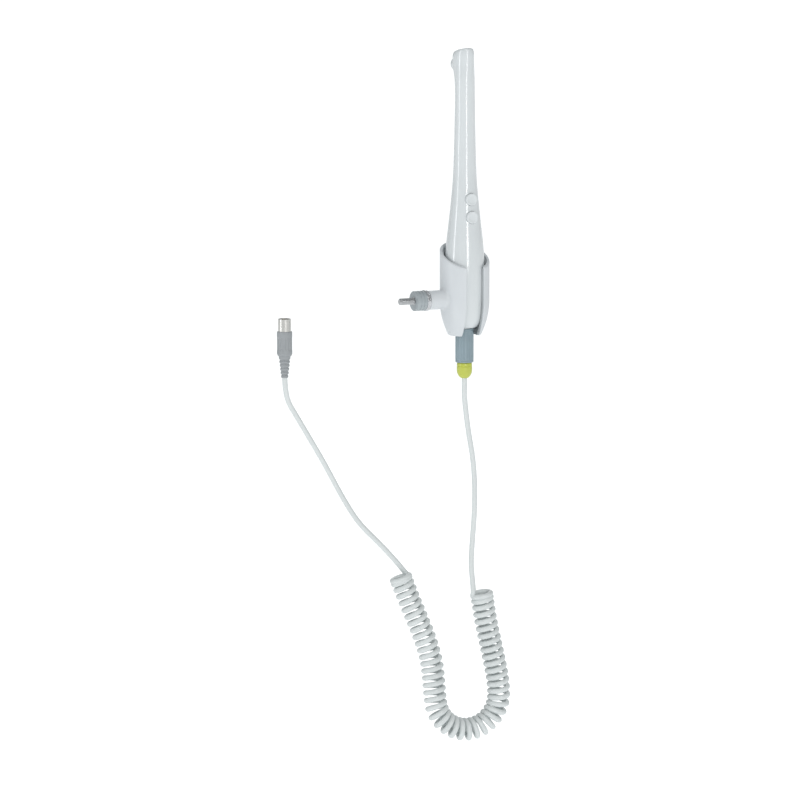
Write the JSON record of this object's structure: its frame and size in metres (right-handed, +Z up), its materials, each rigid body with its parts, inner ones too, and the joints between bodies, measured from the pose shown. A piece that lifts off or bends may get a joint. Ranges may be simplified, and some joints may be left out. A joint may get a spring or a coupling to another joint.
{
  "type": "intraoral camera",
  "caption": "Slim handheld dental camera with a lens in its side, standing in a tilting cradle for a monitor's side, with a curly cord.",
  "frame": {"origin": "middle of the mounting face, where the swivel's bushing meets the monitor's side", "axes": "+X out of the monitor's side, -Y to the front (cradle slot and buttons), +Z up along the handpiece"},
  "size_m": [0.1719, 0.0664, 0.5155],
  "materials": {
    "cradle_white": "smooth white plastic",
    "handpiece_white": "glossy white plastic",
    "button_grey": "satin pale grey plastic",
    "liner_grey": "matt soft rubber",
    "steel": "satin steel",
    "bright_ring": "bright metal",
    "swivel_dark": "satin dark grey plastic",
    "lock_slate": "satin slate plastic",
    "boot_lime": "soft lime rubber",
    "cord_grey": "matt pale grey rubber",
    "plug_grey": "moulded grey plastic",
    "nickel": "nickel plate",
    "gold_contact": "gold plate",
    "insulator": "matt black plastic",
    "board_green": "solder mask",
    "chip_black": "matt black epoxy",
    "flex_amber": "amber film",
    "sensor_glass": "dark glossy sensor",
    "lens_black": "matt black plastic",
    "lens_glass": "coated glass",
    "led_phosphor": "yellow phosphor"
  },
  "bodies": {
    "base": {"pivot_bolt": "steel", "swivel_bushing": "swivel_dark", "friction_ring": "bright_ring", "spring_washer": "steel", "cord_lead_lower": "cord_grey", "cord_curly": "cord_grey", "cord_monitor_lead": "cord_grey", "far_boot": "plug_grey", "far_grip": "plug_grey", "far_shell": "nickel", "far_core": "insulator", "far_pins": "gold_contact"},
    "cradle": {"cradle_shell": "cradle_white", "cradle_liner": "liner_grey", "cradle_arm": "cradle_white", "bolt_cover": "cradle_white", "parking_magnet": "nickel"},
    "handpiece": {"front_shell": "handpiece_white", "rear_shell": "handpiece_white", "main_board": "board_green", "board_chips": "chip_black", "tact_switches": "chip_black", "parking_sensor": "insulator", "flex_cable": "flex_amber", "sensor_board": "board_green", "image_sensor": "sensor_glass", "lens_holder": "lens_black", "lens_barrel": "lens_black", "front_lens": "lens_glass", "led_board": "board_green", "ring_leds": "led_phosphor", "lens_bezel": "handpiece_white", "lens_window": "lens_glass", "tail_socket": "nickel", "socket_insulator": "insulator", "socket_contacts": "gold_contact", "plug_core": "insulator", "plug_pins": "gold_contact", "plug_body": "nickel", "cable_boot": "boot_lime", "cord_lead_upper": "cord_grey"},
    "lock_ring": {"lock_ring": "lock_slate"},
    "capture_button": {"capture_button": "button_grey"},
    "mode_button": {"mode_button": "button_grey"}
  },
  "joints": [
    {"name": "cradle_tilt", "type": "hinge", "parent": "base", "child": "cradle", "pos_m": [0.011, 0, 0], "axis": [1, 0, 0], "range_deg": [-20, 30]},
    {"name": "handpiece_lift", "type": "slide", "parent": "cradle", "child": "handpiece", "axis": [0, 0, 1], "range_m": [0, 0.1]},
    {"name": "lock_ring_turn", "type": "hinge", "parent": "handpiece", "child": "lock_ring", "pos_m": [0.042, 0, -0.034], "axis": [0, 0, 1], "range_deg": [0, 90]},
    {"name": "capture_press", "type": "slide", "parent": "handpiece", "child": "capture_button", "axis": [0, 1, 0], "range_m": [0, 0.0008], "stiffness_N_per_m": 1500},
    {"name": "mode_press", "type": "slide", "parent": "handpiece", "child": "mode_button", "axis": [0, 1, 0], "range_m": [0, 0.0008], "stiffness_N_per_m": 1500}
  ]
}
